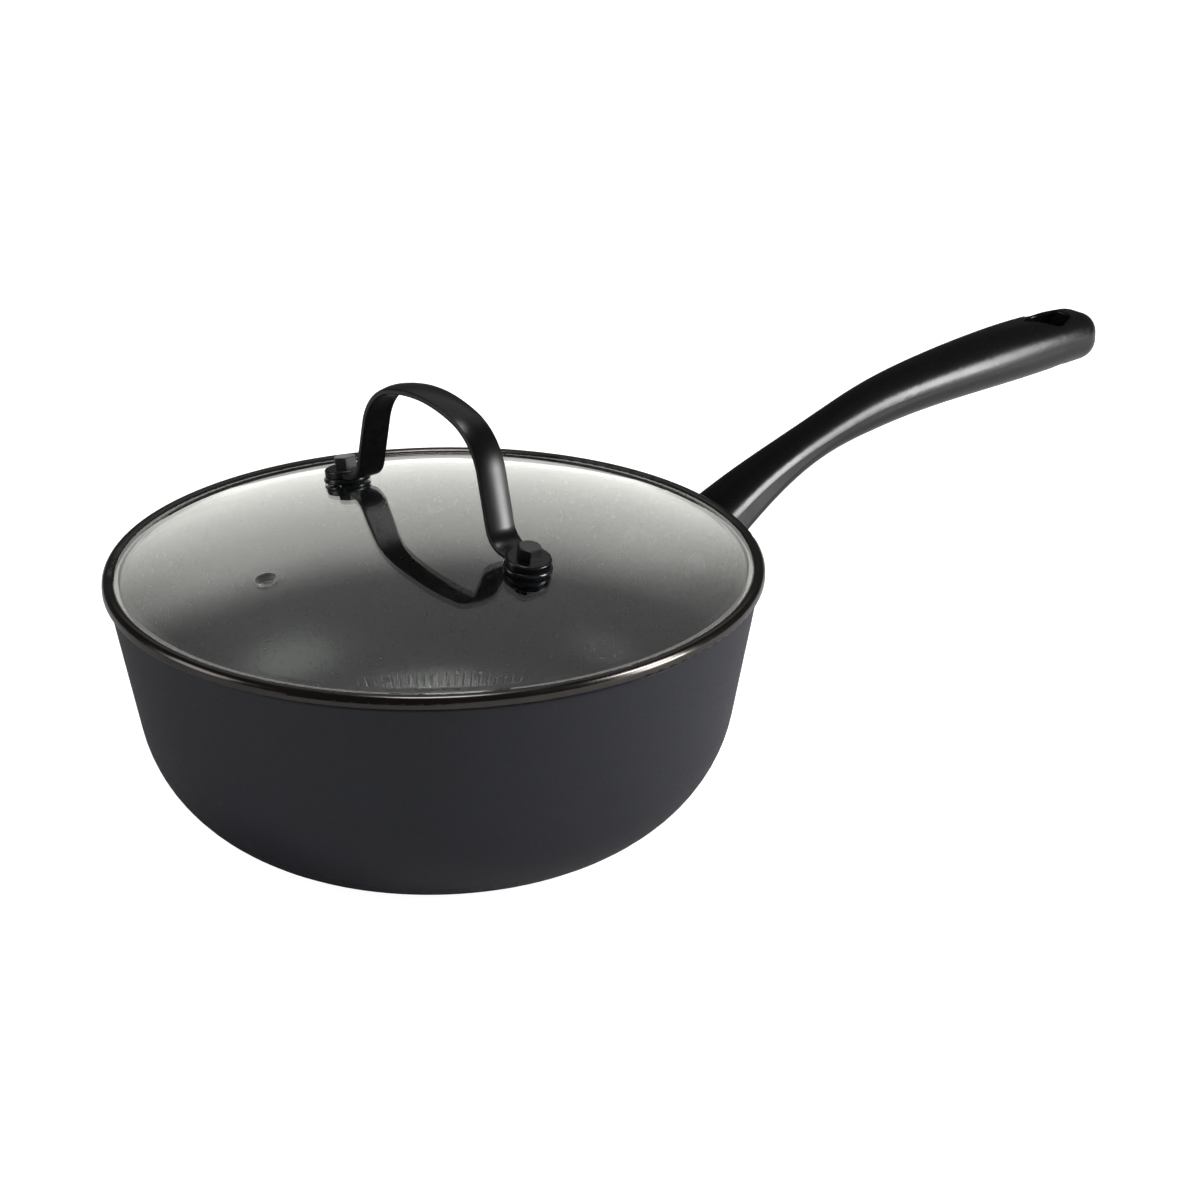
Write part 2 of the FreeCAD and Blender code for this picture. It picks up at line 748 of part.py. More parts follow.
def make_handle_screw():
    """Pan-head screw with a cross recess, driven up into the tang."""
    seat = D["tang_half_height"] + D["screw_floor"] + D["seat_gap"]
    body = new_body("handle_screw", screw_placement(seat))
    end = seat + D["tang_half_height"] - D["screw_end_gap"]
    shank = D["screw_radius"] - D["screw_thread_gap"]
    revolve(body, "profile", [
        Corner(0, -D["screw_head_height"]),
        Corner(D["screw_head_radius"], -D["screw_head_height"], rounding=D["screw_head_rounding"]),
        Corner(D["screw_head_radius"], 0),
        Corner(shank, 0),
        Corner(shank, end, rounding=D["screw_end_rounding"]),
        Corner(0, end),
    ])
    sketch = new_sketch(body, "recess", "XY_Plane",
                        Placement(Vector(0, 0, -D["screw_head_height"].value), Rotation()))
    arm, half = D["recess_reach"], D["recess_half_width"]
    draw_outline(sketch, [
        Corner(arm, -half), Corner(arm, half), Corner(half, half), Corner(half, arm),
        Corner(-half, arm), Corner(-half, half), Corner(-arm, half), Corner(-arm, -half),
        Corner(-half, -half), Corner(-half, -arm), Corner(half, -arm), Corner(half, -half),
    ])
    pocket(body, sketch, D["recess_depth"], backwards=True)
    return body


# ---------------------------------------------------------------------------------------------
# Lid
# ---------------------------------------------------------------------------------------------

def bolt_placement(side):
    """Placement on the dome at a bolt, Z out of the glass, leaning out towards that side."""
    distance = D["bolt_distance"].value
    return tilted(0, side * distance, dome_height(distance), Vector(1, 0, 0), -side * BOLT_TILT)


def vent_placement():
    distance = D["vent_distance"].value
    return tilted(-distance, 0, dome_height(distance), Vector(0, 1, 0), -VENT_TILT)


def make_lid_glass():
    body = new_body("lid_glass")
    inner_dome = D["dome_radius"] - D["glass_thickness"]
    centre = D["dome_top"] - D["dome_radius"]
    shoulder = D["flange_inner_radius"] - D["flange_step"]
    inner_shoulder = shoulder - D["flange_step_inset"]
    outer_z = centre + root(D["dome_radius"] * D["dome_radius"] - shoulder * shoulder)
    inner_z = centre + root(inner_dome * inner_dome - inner_shoulder * inner_shoulder)
    bottom = D["flange_top"] - D["glass_thickness"]
    revolve(body, "profile", [
        Corner(0, centre + inner_dome),
        Corner(inner_shoulder, inner_z, arc=-inner_dome),
        Corner(D["flange_inner_radius"] - D["flange_foot_inset"], bottom),
        Corner(D["glass_radius"], bottom, rounding=D["glass_edge_rounding"]),
        Corner(D["glass_radius"], D["flange_top"], rounding=D["glass_edge_rounding"]),
        Corner(D["flange_inner_radius"], D["flange_top"]),
        Corner(shoulder, outer_z),
        Corner(0, D["dome_top"], arc=D["dome_radius"]),
    ])
    for name, side in SIDES.items():
        pierce(body, f"bolt_hole_{name}", bolt_placement(side), D["glass_hole_radius"],
               D["glass_thickness"] * 4)
    pierce(body, "vent", vent_placement(), D["vent_radius"], D["glass_thickness"] * 4)
    vent = vent_placement().Base

    def vent_mouth(edge):
        """Chooses the closed edge where the vent meets the outer surface."""
        return (edge.CenterOfMass - vent).Length < 1.0 and len(edge.Vertexes) == 1

    round_edges(body, "vent_bevel", D["vent_bevel"], vent_mouth, "PartDesign::Chamfer")
    return body


def make_lid_rim():
    """The band is one folded strip: bead on the glass, outer wall, seat on the pan, skirt inside."""
    body = new_body("lid_rim")
    strip = D["rim_thickness"]
    inner = D["rim_radius"] - strip
    bead, inner_bead = D["rim_bead_radius"], D["rim_bead_radius"] - strip
    centre = D["rim_radius"] - bead
    # The bead curls over from the wall and stands on the flange of the glass
    seat = D["flange_top"] + D["seat_gap"]
    rise = seat - D["rim_bead_height"]
    revolve(body, "profile", [
        Corner(centre - root(bead * bead - rise * rise), seat, arc=bead),
        Corner(centre - root(inner_bead * inner_bead - rise * rise), seat),
        Corner(inner, D["rim_bead_height"], arc=-inner_bead),
        Corner(inner, D["rim_bottom"] + strip, rounding=D["rim_bottom_rounding"] - strip),
        Corner(D["skirt_radius"] - strip, D["rim_bottom"] + strip, rounding=D["skirt_rounding"]),
        Corner(D["skirt_radius"] - strip, D["skirt_bottom"]),
        Corner(D["skirt_radius"], D["skirt_bottom"]),
        Corner(D["skirt_radius"], D["rim_bottom"]),
        Corner(D["rim_radius"], D["rim_bottom"], rounding=D["rim_bottom_rounding"]),
        Corner(D["rim_radius"], D["rim_bead_height"]),
    ])
    return body


def make_upper_gasket(name, side):
    """A gasket under the strap's eye, with a collar that keeps the bolt off the glass."""
    body = new_body(f"upper_gasket_{name}", bolt_placement(side))
    revolve(body, "profile", [
        Corner(D["bolt_hole_radius"], -D["glass_thickness"]),
        Corner(D["collar_radius"], -D["glass_thickness"]),
        Corner(D["collar_radius"], D["gasket_gap"]),
        Corner(D["gasket_radius"], D["gasket_gap"], rounding=D["gasket_rounding"]),
        Corner(D["gasket_radius"], D["gasket_thickness"], rounding=D["gasket_rounding"]),
        Corner(D["bolt_hole_radius"], D["gasket_thickness"]),
    ])
    return body


def make_ring(name, placement, inner, outer, bottom, top, rounding):
    """A flat ring with rounded outer edges, between two heights of its placement."""
    body = new_body(name, placement)
    revolve(body, "profile", [
        Corner(inner, bottom),
        Corner(outer, bottom, rounding=rounding),
        Corner(outer, top, rounding=rounding),
        Corner(inner, top),
    ])
    return body


def make_bolt(name, side):
    body = new_body(f"bolt_{name}", bolt_placement(side))
    seat = D["gasket_thickness"] + D["strap_thickness"]
    sketch = new_sketch(body, "head", "XY_Plane", Placement(Vector(0, 0, seat.value), Rotation()))
    draw_hexagon(sketch, D["bolt_head_flats"])
    pad(body, sketch, D["bolt_head_height"])
    trim_hexagon(body, D["bolt_head_flats"], seat + D["bolt_head_height"], -1)
    sketch = new_sketch(body, "shank", "XY_Plane", Placement(Vector(0, 0, seat.value), Rotation()))
    draw_circle(sketch, 0, 0, D["bolt_radius"])
    pad(body, sketch, seat + D["bolt_reach"], backwards=True)
    bottom = bolt_placement(side).multVec(Vector(0, 0, -D["bolt_reach"].value))
    placement = bolt_placement(side)
    round_edges(body, "end_chamfer", D["bolt_end_chamfer"],
                lambda edge: (placement.multVec(edge.CenterOfMass) - bottom).Length < 0.05,
                "PartDesign::Chamfer")
    return body


def trim_hexagon(body, flats, end, inward):
    """Chamfers a hexagon's corners at an end, as on a real bolt head; inward points into it."""
    sketch = new_sketch(body, "trim", "XZ_Plane")
    start, far = flats * TRIM_START, flats * TRIM_REACH
    beyond = end - inward * Size(TRIM_CLEARANCE)
    draw_outline(sketch, [
        Corner(start, end),
        Corner(far, end + inward * (far - start) * TRIM_SLOPE),
        Corner(far, beyond),
        Corner(start, beyond),
    ])
    groove = body.newObject("PartDesign::Groove", f"{body.Name}_trim_groove")
    groove.Profile = sketch
    groove.ReferenceAxis = (sketch, ["V_Axis"])
    groove.Angle = 360.0
    doc.recompute()


def make_cap_nut(name, side):
    """A domed nut: hexagon against the washer, dome below, blind bore for the bolt."""
    body = new_body(f"cap_nut_{name}", bolt_placement(side))
    top = -(D["glass_thickness"] + D["lower_gasket_thickness"] + D["washer_thickness"])
    hex_bottom = top - D["nut_hex_height"]
    dome_radius = D["nut_flats"] / 2 * NUT_DOME_SHARE
    bulge = (dome_radius * dome_radius + D["nut_dome_height"] * D["nut_dome_height"]) / (
        2 * D["nut_dome_height"])
    sketch = new_sketch(body, "hex", "XY_Plane", Placement(Vector(0, 0, top.value), Rotation()))
    draw_hexagon(sketch, D["nut_flats"])
    pad(body, sketch, D["nut_hex_height"], backwards=True)
    trim_hexagon(body, D["nut_flats"], hex_bottom, 1)
    revolve(body, "dome", [
        Corner(0, hex_bottom - D["nut_dome_height"]),
        Corner(dome_radius, hex_bottom, arc=bulge),
        Corner(0, hex_bottom),
    ])
    sketch = new_sketch(body, "bore", "XY_Plane", Placement(Vector(0, 0, top.value), Rotation()))
    draw_circle(sketch, 0, 0, D["bolt_radius"])
    pocket(body, sketch, D["nut_bore_depth"])
    return body


def strap_path():
    """Corners of the line along the middle of the strap's outer face, in the YZ plane.

    It runs from the middle of one eye to the middle of the other. The crown, the shoulders, the
    legs and the feet join as tangents, and the ends lie square to the bolts.
    """
    tilt = Size(BOLT_TILT)
    crown = D["strap_crown_radius"]
    half = D["strap_crown_half_width"]
    crown_angle = Size(math.degrees(math.asin(half.value / crown.value)),
                       f"asin({half.formula} / {crown.formula}) / 1 deg")
    shoulder = D["strap_shoulder_radius"]
    leg_angle = 90 - D["strap_leg_lean"]
    # End of the crown, end of the shoulder
    crown_y, crown_z = half, D["strap_top"] - crown + crown * cosine(crown_angle)
    bend_y, bend_z = crown_y - shoulder * sine(crown_angle), crown_z - shoulder * cosine(crown_angle)
    hip_y = bend_y + shoulder * sine(leg_angle)
    hip_z = bend_z + shoulder * cosine(leg_angle)
    # The eye's upper plane stands on the gasket, square to the bolt
    seat = D["gasket_thickness"] + D["strap_thickness"]
    eye_y = D["bolt_distance"] + seat * sine(tilt)
    eye_z = Size(dome_height(D["bolt_distance"].value)) + seat * cosine(tilt)
    # Where the leg's line meets the eye's upper plane
    run = tangent(D["strap_leg_lean"])
    foot_y = (hip_y + (hip_z - eye_z - eye_y * tangent(tilt)) * run) / (1 - run * tangent(tilt))
    foot_z = eye_z + (eye_y - foot_y) * tangent(tilt)
    foot = D["strap_foot_rounding"]
    return [
        Corner(-eye_y, eye_z),
        Corner(-foot_y, foot_z, rounding=foot),
        Corner(-hip_y, hip_z),
        Corner(-crown_y, crown_z, arc=-shoulder),
        Corner(crown_y, crown_z, arc=-crown),
        Corner(hip_y, hip_z, arc=-shoulder),
        Corner(foot_y, foot_z, rounding=foot),
        Corner(eye_y, eye_z),
    ]


def across_bolt(side, height):
    """Placement of an upright sketch through a bolt's axis: its X is the pan's X."""
    return bolt_placement(side).multiply(Placement(Vector(0, 0, height), Rotation(Vector(1, 0, 0), 90)))


def make_lid_handle():
    """A strap swept along its path, its outer face crowned, with a flat round eye at each end."""
    body = new_body("lid_handle")
    path = new_sketch(body, "path", "YZ_Plane")
    draw_outline(path, strap_path(), closed=False)

    thick, half, rise = D["strap_thickness"], D["strap_width"] / 2, D["strap_crown_rise"]
    seat = D["gasket_thickness"] + thick
    section = new_sketch(body, "section", "XY_Plane", across_bolt(-1, seat.value))
    draw_outline(section, [
        Corner(half, -thick, rounding=D["strap_inner_rounding"]),
        Corner(half, -rise),
        Corner(-half, -rise, arc=(half * half + rise * rise) / (2 * rise)),
        Corner(-half, -thick, rounding=D["strap_inner_rounding"]),
    ])
    sweep = body.newObject("PartDesign::AdditivePipe", "lid_handle_sweep")
    sweep.Profile = section
    sweep.Spine = (path, [f"Edge{number}" for number in range(1, len(path.Shape.Edges) + 1)])
    sweep.Transition = "Transformed"
    doc.recompute()

    def crown_edge(edge):
        """Chooses the edges between the crowned face and the sides, by their depth below the path."""
        middle = edge.valueAt((edge.FirstParameter + edge.LastParameter) / 2)
        middle_plane = Part.Vertex(Vector(0, middle.y, middle.z))
        depth = path.Shape.distToShape(middle_plane)[0]
        on_side = abs(abs(middle.x) - half.value) < EDGE_MATCH
        return on_side and abs(depth - rise.value) < EDGE_MATCH

    round_edges(body, "outer_rounding", D["strap_outer_rounding"], crown_edge)

    for name, side in SIDES.items():
        eye = new_sketch(body, f"eye_{name}", "XY_Plane", across_bolt(side, 0.0))
        draw_outline(eye, [
            Corner(0, D["gasket_thickness"]),
            Corner(D["eye_radius"], D["gasket_thickness"], rounding=D["strap_inner_rounding"]),
            Corner(D["eye_radius"], seat, rounding=D["eye_rounding"]),
            Corner(0, seat),
        ])
        turn = body.newObject("PartDesign::Revolution", f"lid_handle_eye_{name}_turn")
        turn.Profile = eye
        turn.ReferenceAxis = (eye, ["V_Axis"])
        turn.Angle = 360.0
        doc.recompute()
        pierce(body, f"bolt_hole_{name}", bolt_placement(side), D["bolt_hole_radius"], seat * 4)
    return body


def build():
    pieces = [make_pan_shell(), make_induction_disc(), make_handle_bracket()]
    pieces += [make_rivet(name, side) for name, side in SIDES.items()]
    pieces += [make_handle_grip(), make_handle_screw()]
    pieces += [make_lid_glass(), make_lid_rim(), make_lid_handle()]
    # The dome's underside is hollow, so the lower gasket's flat top sits a little below its middle
    hollow = D["lower_gasket_radius"] * D["lower_gasket_radius"] / (
        2 * (D["dome_radius"] - D["glass_thickness"]))
    glass = D["glass_thickness"] + hollow + D["gasket_gap"]
    soft = D["glass_thickness"] + D["lower_gasket_thickness"]
    for name, side in SIDES.items():
        place = bolt_placement(side)
        pieces.append(make_upper_gasket(name, side))
        pieces.append(make_ring(
            f"lower_gasket_{name}", place, D["bolt_hole_radius"], D["lower_gasket_radius"],
            -soft, -glass, D["lower_gasket_rounding"]))
        pieces.append(make_ring(
            f"washer_{name}", place, D["bolt_hole_radius"], D["washer_radius"],
            -soft - D["washer_thickness"], -soft, D["washer_rounding"]))
        pieces.append(make_bolt(name, side))
        pieces.append(make_cap_nut(name, side))
    return pieces


def write(pieces):
    """Checks every object of the document, then writes each piece to its own STEP file."""
    doc.recompute()
    for item in doc.Objects:
        if "Invalid" in item.State or "Error" in item.State:
            raise RuntimeError(f"{item.Name} failed: {item.State}")
    os.makedirs("parts", exist_ok=True)
    for piece in pieces:
        shape = piece.Shape
        if shape.isNull() or not shape.isValid() or len(shape.Solids) != 1:
            raise RuntimeError(f"{piece.Label} is not one valid solid")
        shape.exportStep(f"parts/{piece.Label}.step")
        print(f"{piece.Label}: {shape.Volume / 1000:.2f} cm3")


write(build())
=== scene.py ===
import json
import math

import bpy
from mathutils import Euler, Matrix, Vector
from mathutils.bvhtree import BVHTree


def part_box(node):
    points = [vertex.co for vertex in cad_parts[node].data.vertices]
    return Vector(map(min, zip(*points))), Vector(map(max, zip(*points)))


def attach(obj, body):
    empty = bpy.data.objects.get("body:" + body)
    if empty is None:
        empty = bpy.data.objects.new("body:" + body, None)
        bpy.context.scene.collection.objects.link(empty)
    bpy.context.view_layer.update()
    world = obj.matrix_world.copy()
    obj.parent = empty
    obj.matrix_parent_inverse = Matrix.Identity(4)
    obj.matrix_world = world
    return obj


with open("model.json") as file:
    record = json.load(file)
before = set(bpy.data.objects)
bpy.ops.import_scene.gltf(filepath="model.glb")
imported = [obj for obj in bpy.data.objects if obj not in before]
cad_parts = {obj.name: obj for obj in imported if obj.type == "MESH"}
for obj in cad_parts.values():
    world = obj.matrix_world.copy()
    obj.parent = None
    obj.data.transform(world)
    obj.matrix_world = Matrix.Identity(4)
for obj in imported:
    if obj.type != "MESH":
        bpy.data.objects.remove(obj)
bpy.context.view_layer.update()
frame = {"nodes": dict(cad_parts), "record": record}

# Saucepan with a glass lid. Everything is in metres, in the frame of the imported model: +Z is up,
# +X runs along the handle, and the origin is the centre of the base.

MILLIMETRE = 0.001


# ---------------------------------------------------------------------------------------------
# Node graphs
# ---------------------------------------------------------------------------------------------

class Graph:
    """A node tree with a short call for each kind of node that the materials use."""

    def __init__(self, tree):
        self.tree = tree
        tree.nodes.clear()

    def node(self, kind, **settings):
        made = self.tree.nodes.new(kind)
        for name, value in settings.items():
            setattr(made, name, value)
        return made

    def feed(self, socket, value):
        """Links an output to a socket, or sets the socket to a plain value."""
        if isinstance(value, bpy.types.NodeSocket):
            self.tree.links.new(value, socket)
        elif isinstance(value, (tuple, list)) and len(value) == 3 and socket.type == "RGBA":
            socket.default_value = (*value, 1.0)
        else:
            socket.default_value = value

    def math(self, operation, first, second=0.0):
        made = self.node("ShaderNodeMath", operation=operation)
        self.feed(made.inputs[0], first)
        self.feed(made.inputs[1], second)
        return made.outputs[0]

    def vector(self, operation, first, second=(0.0, 0.0, 0.0)):
        made = self.node("ShaderNodeVectorMath", operation=operation)
        self.feed(made.inputs[0], first)
        self.feed(made.inputs[1], second)
        return made.outputs["Value" if operation in ("DOT_PRODUCT", "LENGTH") else "Vector"]

    def place(self):
        """The point's place in the object's own coordinates, in metres."""
        return self.node("ShaderNodeTexCoord").outputs["Object"]

    def split(self, vector):
        return self.node_from("ShaderNodeSeparateXYZ", vector).outputs

    def join(self, x, y, z):
        made = self.node("ShaderNodeCombineXYZ")
        for socket, value in zip(made.inputs, (x, y, z)):
            self.feed(socket, value)
        return made.outputs[0]

    def node_from(self, kind, value):
        made = self.node(kind)
        self.feed(made.inputs[0], value)
        return made

    def noise(self, place, size, detail, roughness=0.5):
        """Noise whose features are about this many metres across."""
        made = self.node("ShaderNodeTexNoise")
        self.feed(made.inputs["Vector"], place)
        made.inputs["Scale"].default_value = 1.0 / size
        made.inputs["Detail"].default_value = detail
        made.inputs["Roughness"].default_value = roughness
        return made.outputs["Fac"]

    def span(self, value, low, high, to_low=0.0, to_high=1.0):
        """Maps a value smoothly from one range to another and holds it at the ends."""
        made = self.node("ShaderNodeMapRange", interpolation_type="SMOOTHSTEP")
        for name, number in (("Value", value), ("From Min", low), ("From Max", high),
                             ("To Min", to_low), ("To Max", to_high)):
            self.feed(made.inputs[name], number)
        return made.outputs["Result"]

    def mix(self, share, first, second):
        """Mixes two colours."""
        made = self.node("ShaderNodeMix", data_type="RGBA")
        self.feed(made.inputs["Factor"], share)
        self.feed(made.inputs[6], first)
        self.feed(made.inputs[7], second)
        return made.outputs[2]

    def bump(self, height, depth):
        """Relief of this depth, in metres, where the height runs from 0 to 1."""
        made = self.node("ShaderNodeBump")
        made.inputs["Strength"].default_value = 1.0
        made.inputs["Distance"].default_value = depth
        self.feed(made.inputs["Height"], height)
        return made.outputs["Normal"]

    def shader(self, color, roughness, normal=None, **fixed):
        """A Principled shader; the fixed settings are the same all over the surface."""
        made = self.node("ShaderNodeBsdfPrincipled")
        self.feed(made.inputs["Base Color"], color)
        self.feed(made.inputs["Roughness"], roughness)
        if normal is not None:
            self.feed(made.inputs["Normal"], normal)
        for name, value in fixed.items():
            self.feed(made.inputs[name.replace("_", " ")], value)
        return made.outputs["BSDF"]

    def ray(self, kind):
        return self.node("ShaderNodeLightPath").outputs[kind]

    def blend(self, share, first, second):
        """Mixes two shaders."""
        made = self.node("ShaderNodeMixShader")
        for socket, value in zip(made.inputs, (share, first, second)):
            self.feed(socket, value)
        return made.outputs[0]

    def finish(self, shader):
        output = self.node("ShaderNodeOutputMaterial")
        self.feed(output.inputs["Surface"], shader)


def new_material(name):
    material = bpy.data.materials.new(name)
    material.use_nodes = True
    return material, Graph(material.node_tree)


# ---------------------------------------------------------------------------------------------
# Materials
# ---------------------------------------------------------------------------------------------

def pan_coating():
    """Matt blue-grey coating with fine sand outside, satin orange-peel coating inside."""
    material, g = new_material("pan_coating")
    place = g.place()
    normal = g.node("ShaderNodeNewGeometry").outputs["Normal"]
    # Inside the pan, the surface faces the middle of the mouth
    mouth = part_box("pan_shell")[1].z - 2 * MILLIMETRE
    facing = g.vector("DOT_PRODUCT", normal, g.vector("SUBTRACT", place, (0.0, 0.0, mouth)))
    inside = g.span(facing, -0.4 * MILLIMETRE, 0.4 * MILLIMETRE, 1.0, 0.0)
    outside = g.math("SUBTRACT", 1.0, inside)

    cloud = g.noise(place, 40 * MILLIMETRE, detail=3)
    sand = g.noise(place, 0.55 * MILLIMETRE, detail=3, roughness=0.6)
    grains = g.span(g.noise(place, 0.9 * MILLIMETRE, detail=2, roughness=0.7), 0.60, 0.72)
    outer = g.mix(cloud, (0.0165, 0.0172, 0.0262), (0.0205, 0.0214, 0.0322))
    outer = g.mix(g.math("MULTIPLY", grains, 0.3), outer, (0.035, 0.037, 0.044))
    peel = g.noise(place, 1.2 * MILLIMETRE, detail=0.0)
    inner = g.mix(cloud, (0.011, 0.011, 0.0109), (0.015, 0.015, 0.0148))
    colour = g.mix(inside, outer, inner)
    rough_outer = g.span(sand, 0.3, 0.7, 0.50, 0.62)
    rough_inner = g.span(g.noise(place, 3 * MILLIMETRE, detail=3), 0.3, 0.7, 0.27, 0.33)
    roughness = g.math("ADD", g.math("MULTIPLY", rough_inner, inside),
                       g.math("MULTIPLY", rough_outer, outside))
    height = g.math("ADD", g.math("MULTIPLY", peel, inside),
                    g.math("MULTIPLY", g.math("MULTIPLY", sand, 0.25), outside))
    bumped = g.bump(height, 0.05 * MILLIMETRE)
    g.finish(g.shader(colour, roughness, bumped, Specular_IOR_Level=0.5))
    return material


# The glass is a part of a sphere; the vent is drilled square to it, and its wall and bevel are ground
DOME_RADIUS = 348 * MILLIMETRE
DOME_CENTRE_Z = (120 - 348) * MILLIMETRE
VENT_ACROSS = -73.5 * MILLIMETRE
VENT_BEVEL_RADIUS = 3.9 * MILLIMETRE


def lid_glass():
    """Clear toughened glass with a faint grey-green tint, which lets the lamps' light through."""
    material, g = new_material("lid_glass")
    place = g.place()
    wave = g.noise(place, 60 * MILLIMETRE, detail=1)
    smooth = g.span(g.noise(place, 12 * MILLIMETRE, detail=3), 0.35, 0.75, 0.004, 0.016)

    lean = math.asin(VENT_ACROSS / DOME_RADIUS)
    from_centre = g.vector("SUBTRACT", place, (0.0, 0.0, DOME_CENTRE_Z))
    from_axis = g.vector("LENGTH", g.vector(
        "CROSS_PRODUCT", from_centre, (math.sin(lean), 0.0, math.cos(lean))))
    in_vent = g.span(from_axis, VENT_BEVEL_RADIUS - 0.1 * MILLIMETRE, VENT_BEVEL_RADIUS, 1.0, 0.0)
    rough = g.math("ADD", smooth, g.math("MULTIPLY", in_vent, 0.5))

    glass = g.shader((0.93, 0.95, 0.93), rough, g.bump(wave, 0.25 * MILLIMETRE),
                     Transmission_Weight=1.0, IOR=1.5)
    clear = g.node("ShaderNodeBsdfTransparent")
    clear.inputs["Color"].default_value = (0.86, 0.88, 0.86, 1.0)
    g.finish(g.blend(g.ray("Is Shadow Ray"), glass, clear.outputs[0]))
    return material


def rolled_steel(name, dark, light, rough_low, rough_high):
    """Steel finished by turning: fine rings of slightly different tone and roughness about Z."""
    material, g = new_material(name)
    place = g.place()
    x, y, z = g.split(place)
    radius = g.vector("LENGTH", g.join(x, y, 0.0))
    rings = g.noise(g.join(radius, 0.0, z), 0.35 * MILLIMETRE, detail=3, roughness=0.6)
    smear = g.noise(place, 14 * MILLIMETRE, detail=3)
    colour = g.mix(smear, dark, light)
    roughness = g.span(g.math("ADD", g.math("MULTIPLY", rings, 0.6), g.math("MULTIPLY", smear, 0.4)),
                       0.35, 0.65, rough_low, rough_high)
    bumped = g.bump(rings, 0.004 * MILLIMETRE)
    g.finish(g.shader(colour, roughness, bumped, Metallic=1.0))
    return material


def satin_black(name, dark, light, rough_low, rough_high, grain, depth):
    """Black paint or plastic: a fine even grain, and slow patches where hands have rubbed it."""
    material, g = new_material(name)
    place = g.place()
    fine = g.noise(place, grain, detail=3, roughness=0.55)
    patch = g.noise(place, 22 * MILLIMETRE, detail=3)
    colour = g.mix(patch, dark, light)
    roughness = g.span(patch, 0.3, 0.7, rough_low, rough_high)
    bumped = g.bump(fine, depth)
    g.finish(g.shader(colour, roughness, bumped, Specular_IOR_Level=0.5))
    return material


MATERIALS = {
    "pan_coating": pan_coating(),
    "lid_glass": lid_glass(),
    "rim_steel": rolled_steel("rim_steel", (0.060, 0.055, 0.051), (0.100, 0.092, 0.086), 0.14, 0.24),
    "disc_steel": rolled_steel("disc_steel", (0.48, 0.47, 0.46), (0.60, 0.59, 0.57), 0.28, 0.42),
    "washer_steel": rolled_steel("washer_steel", (0.060, 0.060, 0.060), (0.085, 0.085, 0.084), 0.3, 0.4),
    "nut_steel": rolled_steel("nut_steel", (0.050, 0.050, 0.050), (0.070, 0.070, 0.069), 0.25, 0.35),
    "screw_steel": rolled_steel("screw_steel", (0.50, 0.50, 0.50), (0.62, 0.62, 0.61), 0.25, 0.4),
    "bracket_metal": satin_black("bracket_metal", (0.010, 0.010, 0.011), (0.016, 0.016, 0.017),
                                 0.38, 0.48, 0.5 * MILLIMETRE, 0.03 * MILLIMETRE),
    "grip_plastic": satin_black("grip_plastic", (0.0060, 0.0059, 0.0058), (0.0080, 0.0079, 0.0077),
                                0.24, 0.31, 0.35 * MILLIMETRE, 0.010 * MILLIMETRE),
    "strap_metal": satin_black("strap_metal", (0.0022, 0.0022, 0.0023), (0.0036, 0.0036, 0.0037),
                               0.26, 0.34, 0.5 * MILLIMETRE, 0.012 * MILLIMETRE),
    "bolt_black": satin_black("bolt_black", (0.0030, 0.0030, 0.0030), (0.0050, 0.0050, 0.0050),
                              0.42, 0.55, 0.4 * MILLIMETRE, 0.02 * MILLIMETRE),
    "gasket_rubber": satin_black("gasket_rubber", (0.006, 0.007, 0.009), (0.010, 0.011, 0.014),
                                 0.14, 0.22, 0.8 * MILLIMETRE, 0.01 * MILLIMETRE),
    "rivet_metal": satin_black("rivet_metal", (0.028, 0.029, 0.030), (0.036, 0.037, 0.038),
                               0.26, 0.36, 1.3 * MILLIMETRE, 0.03 * MILLIMETRE),
}


def dress_nodes():
    """Gives each node of the frame the material of its slot in the record."""
    for part in frame["record"]["subparts"]:
        node = frame["nodes"][part["node"]]
        node.data.materials.clear()
        node.data.materials.append(MATERIALS[part["material_slot"]])


# ---------------------------------------------------------------------------------------------
# Relief that is too fine for the CAD model
# ---------------------------------------------------------------------------------------------

RIB_COUNT = 165
RIB_START, RIB_END = 84.0 * MILLIMETRE, 90.5 * MILLIMETRE
RIB_WIDTH = 1.5 * MILLIMETRE
RIB_HEIGHT = 0.16 * MILLIMETRE
RIB_SINK = 0.04 * MILLIMETRE
RIB_STEPS_ALONG, RIB_STEPS_ACROSS = 8, 6


